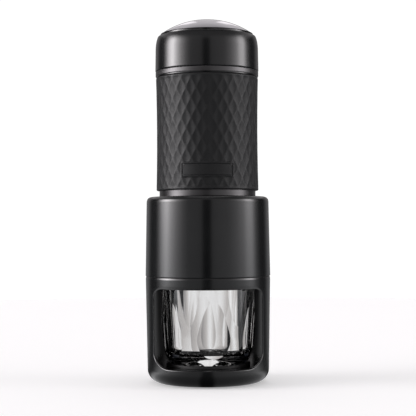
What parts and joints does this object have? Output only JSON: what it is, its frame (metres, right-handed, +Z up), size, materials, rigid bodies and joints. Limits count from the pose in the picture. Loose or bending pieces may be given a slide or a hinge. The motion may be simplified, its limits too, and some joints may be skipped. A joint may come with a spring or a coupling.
{
  "type": "handheld manual espresso maker",
  "caption": "Upright hand-pumped espresso maker: windowed cup holder with a cut-glass cup, brewing collar, water tank in a quilted rubber grip, and a lockable pump head under a chrome dome.",
  "frame": {"origin": "centre of the foot ring's underside, on the table", "axes": "+Z up along the common axis of all parts; -Y towards the front, where the badge field is; the cup holder's windows face -Y and +Y"},
  "size_m": [0.076, 0.076, 0.2205],
  "materials": {
    "shell_black": "satin black moulding",
    "inner_plastic": "dark grey moulding",
    "bearing_plastic": "off-white acetal",
    "grip_rubber": "soft touch with a diamond quilt",
    "seal_rubber": "smooth black silicone",
    "gasket_rubber": "smooth red-brown silicone",
    "chrome_trim": "polished",
    "steel": "stainless",
    "cup_glass": "clear, thick, with tall pointed cuts"
  },
  "bodies": {
    "holder": {"cup_holder": "shell_black", "base_plate": "inner_plastic", "base_screws": "steel", "foot_ring": "seal_rubber", "cup_pad": "seal_rubber"},
    "cup": {"glass_cup": "cup_glass"},
    "rim_seal": {"seam_seal": "seal_rubber"},
    "collar": {"collar_shell": "shell_black", "brewing_bowl": "inner_plastic", "bowl_screws": "steel", "spout_nozzle": "steel"},
    "basket": {"coffee_basket": "steel"},
    "group_seal": {"group_gasket": "gasket_rubber"},
    "tank": {"water_tank": "inner_plastic", "shower_screen": "steel", "shower_screw": "steel", "neck_band": "steel", "grip_sleeve": "grip_rubber"},
    "tank_seal": {"mouth_seal": "seal_rubber"},
    "pump": {"pump_cap": "shell_black", "chrome_ring": "chrome_trim", "guide_bush": "bearing_plastic", "pump_cylinder": "steel", "cylinder_screws": "steel", "valve_block": "inner_plastic", "flap_guide": "steel", "outlet_plug": "steel", "outlet_seal": "seal_rubber", "outlet_spring": "steel", "return_spring": "steel"},
    "inlet_valve": {"inlet_flap": "seal_rubber"},
    "outlet_valve": {"outlet_ball": "steel"},
    "plunger": {"plunger_rod": "steel", "piston": "bearing_plastic", "piston_seal": "seal_rubber", "piston_screw": "steel", "head_screw": "steel"},
    "head": {"head_shell": "shell_black", "head_hub": "inner_plastic", "hub_screws": "steel", "dome_cover": "chrome_trim"}
  },
  "joints": [
    {"name": "cup_lift", "type": "slide", "parent": "holder", "child": "cup", "axis": [0, 0, 1], "range_m": [0, 0.065]},
    {"name": "brewer_turn", "type": "hinge", "parent": "cup", "child": "rim_seal", "pos_m": [0, 0, 0.0646], "axis": [0, 0, 1], "range_deg": [0, 26]},
    {"name": "brewer_lift", "type": "slide", "parent": "rim_seal", "child": "collar", "axis": [0, 0, 1], "range_m": [0, 0.06]},
    {"name": "basket_lift", "type": "slide", "parent": "collar", "child": "basket", "axis": [0, 0, 1], "range_m": [0, 0.04]},
    {"name": "tank_turn", "type": "hinge", "parent": "basket", "child": "group_seal", "pos_m": [0, 0, 0.0996], "axis": [0, 0, 1], "range_deg": [0, 26]},
    {"name": "tank_lift", "type": "slide", "parent": "group_seal", "child": "tank", "axis": [0, 0, 1], "range_m": [0, 0.045]},
    {"name": "pump_turn", "type": "hinge", "parent": "tank", "child": "tank_seal", "pos_m": [0, 0, 0.184], "axis": [0, 0, 1], "range_deg": [0, 26]},
    {"name": "pump_lift", "type": "slide", "parent": "tank_seal", "child": "pump", "axis": [0, 0, 1], "range_m": [0, 0.08]},
    {"name": "pump_stroke", "type": "slide", "parent": "pump", "child": "plunger", "axis": [0, 0, 1], "range_m": [0, 0.026], "deforming": ["return_spring"]},
    {"name": "head_lock", "type": "hinge", "parent": "plunger", "child": "head", "pos_m": [0, 0, 0.2], "axis": [0, 0, 1], "range_deg": [0, 26]},
    {"name": "inlet_flap_lift", "type": "slide", "parent": "pump", "child": "inlet_valve", "axis": [0, 0, 1], "range_m": [0, 0.0008]},
    {"name": "outlet_ball_drop", "type": "slide", "parent": "pump", "child": "outlet_valve", "axis": [0, 0, -1], "range_m": [0, 0.001], "stiffness_N_per_m": 50, "springref_m": -0.002, "deforming": ["outlet_spring"]}
  ]
}
